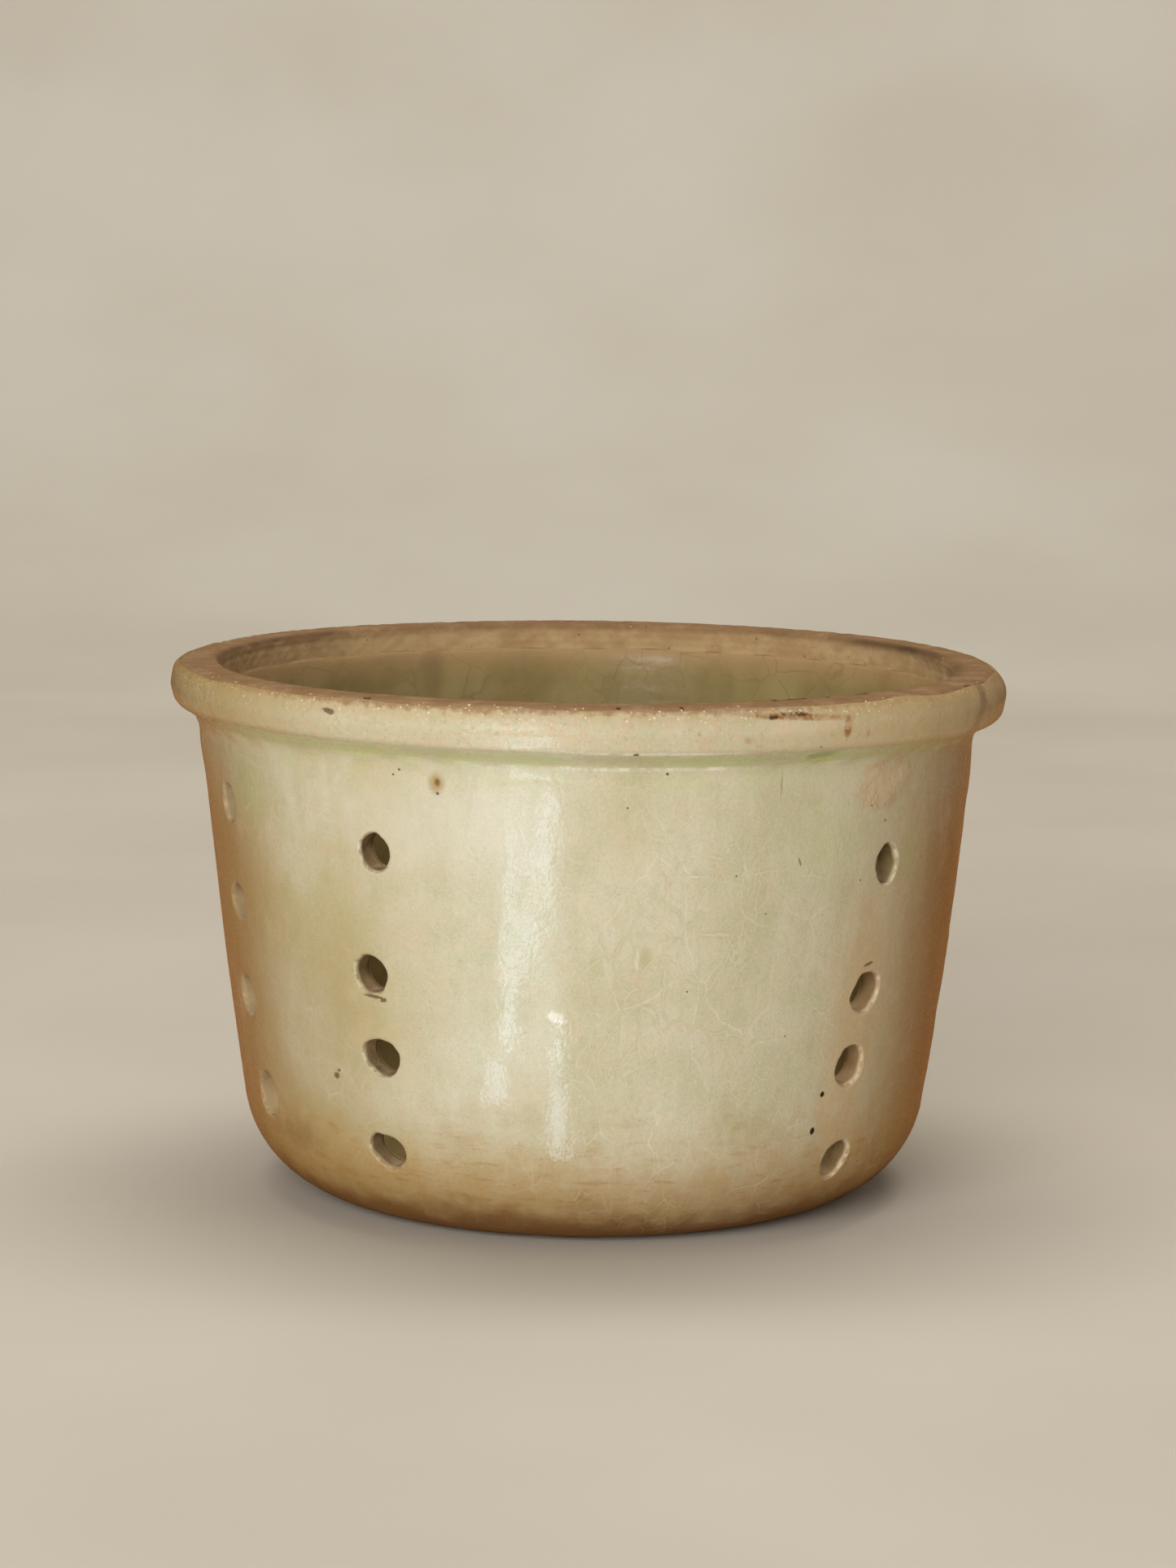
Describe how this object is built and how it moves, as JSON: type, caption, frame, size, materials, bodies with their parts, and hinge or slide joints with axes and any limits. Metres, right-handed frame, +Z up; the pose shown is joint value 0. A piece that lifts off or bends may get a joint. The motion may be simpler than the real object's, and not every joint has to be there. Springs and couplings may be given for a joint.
{
  "type": "stoneware cheese strainer",
  "caption": "Tapered round draining pot in glazed stoneware, with a rolled collar, rounded heel, flat floor and pierced drain holes.",
  "frame": {"origin": "centre of the flat underside, on the surface the pot stands on", "axes": "+Z up the pot's axis to the lip; -Y towards the side with the close pair of hole columns on its left; +X to the right of that side"},
  "size_m": [0.1998, 0.1998, 0.127],
  "materials": {
    "bare_stoneware": "fired clay left unglazed, matte and slightly gritty, brown where it was wiped and handled",
    "celadon_glaze": "pale grey-green to cream glaze, glossy, finely crazed, with brown specks and pinholes",
    "inner_glaze": "the same glaze inside, thinner and browner, glossy to satin"
  },
  "bodies": {
    "root": {"floor_disc": "bare_stoneware", "rounded_heel": "bare_stoneware", "pierced_wall": "bare_stoneware", "rim_collar": "bare_stoneware", "outer_glaze": "celadon_glaze", "inner_glaze": "inner_glaze"}
  },
  "joints": []
}
